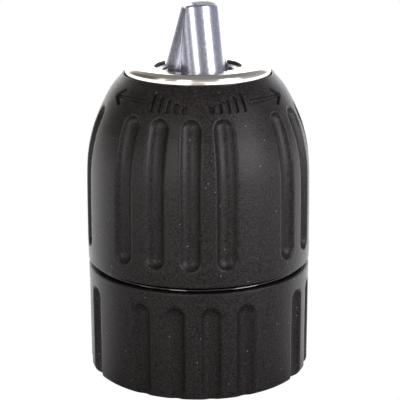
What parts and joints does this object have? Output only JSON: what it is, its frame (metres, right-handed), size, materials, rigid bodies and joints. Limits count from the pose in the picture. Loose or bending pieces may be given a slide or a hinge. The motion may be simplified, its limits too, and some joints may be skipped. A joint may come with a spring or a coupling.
{
  "type": "keyless drill chuck",
  "caption": "Two-sleeve keyless drill chuck with fluted black plastic sleeves, a polished nose cap and three closed steel jaws.",
  "frame": {"origin": "centre of the rear face, on the chuck's axis", "axes": "+Z along the chuck's axis towards the jaws; the pictured side faces -Y"},
  "size_m": [0.0434, 0.0434, 0.072],
  "materials": {
    "black_plastic": "matte, finely speckled moulded glass-filled plastic",
    "polished_cap": "polished, nickel-bright",
    "jaw_steel": "satin ground",
    "body_steel": "turned",
    "nut_steel": "turned, lightly oiled",
    "bearing_steel": "ground and hardened",
    "cage_brass": "stamped"
  },
  "bodies": {
    "base": {"body": "body_steel", "rear_sleeve": "black_plastic", "nose_cap": "polished_cap", "lower_race": "bearing_steel"},
    "turning_sleeve": {"front_sleeve": "black_plastic", "nut_half_a": "nut_steel", "nut_half_b": "nut_steel", "nut_band": "nut_steel", "upper_race": "bearing_steel"},
    "ball_row": {"ball_cage": "cage_brass", "ball_01": "bearing_steel", "ball_02": "bearing_steel", "ball_03": "bearing_steel", "ball_04": "bearing_steel", "ball_05": "bearing_steel", "ball_06": "bearing_steel", "ball_07": "bearing_steel", "ball_08": "bearing_steel", "ball_09": "bearing_steel", "ball_10": "bearing_steel", "ball_11": "bearing_steel", "ball_12": "bearing_steel", "ball_13": "bearing_steel", "ball_14": "bearing_steel", "ball_15": "bearing_steel", "ball_16": "bearing_steel", "ball_17": "bearing_steel", "ball_18": "bearing_steel"},
    "jaw_1": {"jaw_1": "jaw_steel"},
    "jaw_2": {"jaw_2": "jaw_steel"},
    "jaw_3": {"jaw_3": "jaw_steel"}
  },
  "joints": [
    {"name": "sleeve_turn", "type": "hinge", "parent": "base", "child": "turning_sleeve", "pos_m": [0, 0, 0.036], "axis": [0, 0, 1], "range_deg": [0, 3704]},
    {"name": "jaw_1_slide", "type": "slide", "parent": "base", "child": "jaw_1", "axis": [0.0958, -0.2495, -0.9636], "range_m": [0, 0.02059]},
    {"name": "jaw_2_slide", "type": "slide", "parent": "base", "child": "jaw_2", "axis": [0.1682, 0.2077, -0.9636], "range_m": [0, 0.02059]},
    {"name": "jaw_3_slide", "type": "slide", "parent": "base", "child": "jaw_3", "axis": [-0.2639, 0.0418, -0.9636], "range_m": [0, 0.02059]},
    {"name": "ball_row_turn", "type": "hinge", "parent": "base", "child": "ball_row", "pos_m": [0, 0, 0.0299], "axis": [0, 0, 1], "range_deg": [0, 1852]}
  ],
  "couplings": [
    {"joint": "jaw_1_slide", "follows": "sleeve_turn", "m_per_rad": 0.00031831},
    {"joint": "jaw_2_slide", "follows": "sleeve_turn", "m_per_rad": 0.00031831},
    {"joint": "jaw_3_slide", "follows": "sleeve_turn", "m_per_rad": 0.00031831},
    {"joint": "ball_row_turn", "follows": "sleeve_turn", "ratio": 0.5}
  ]
}
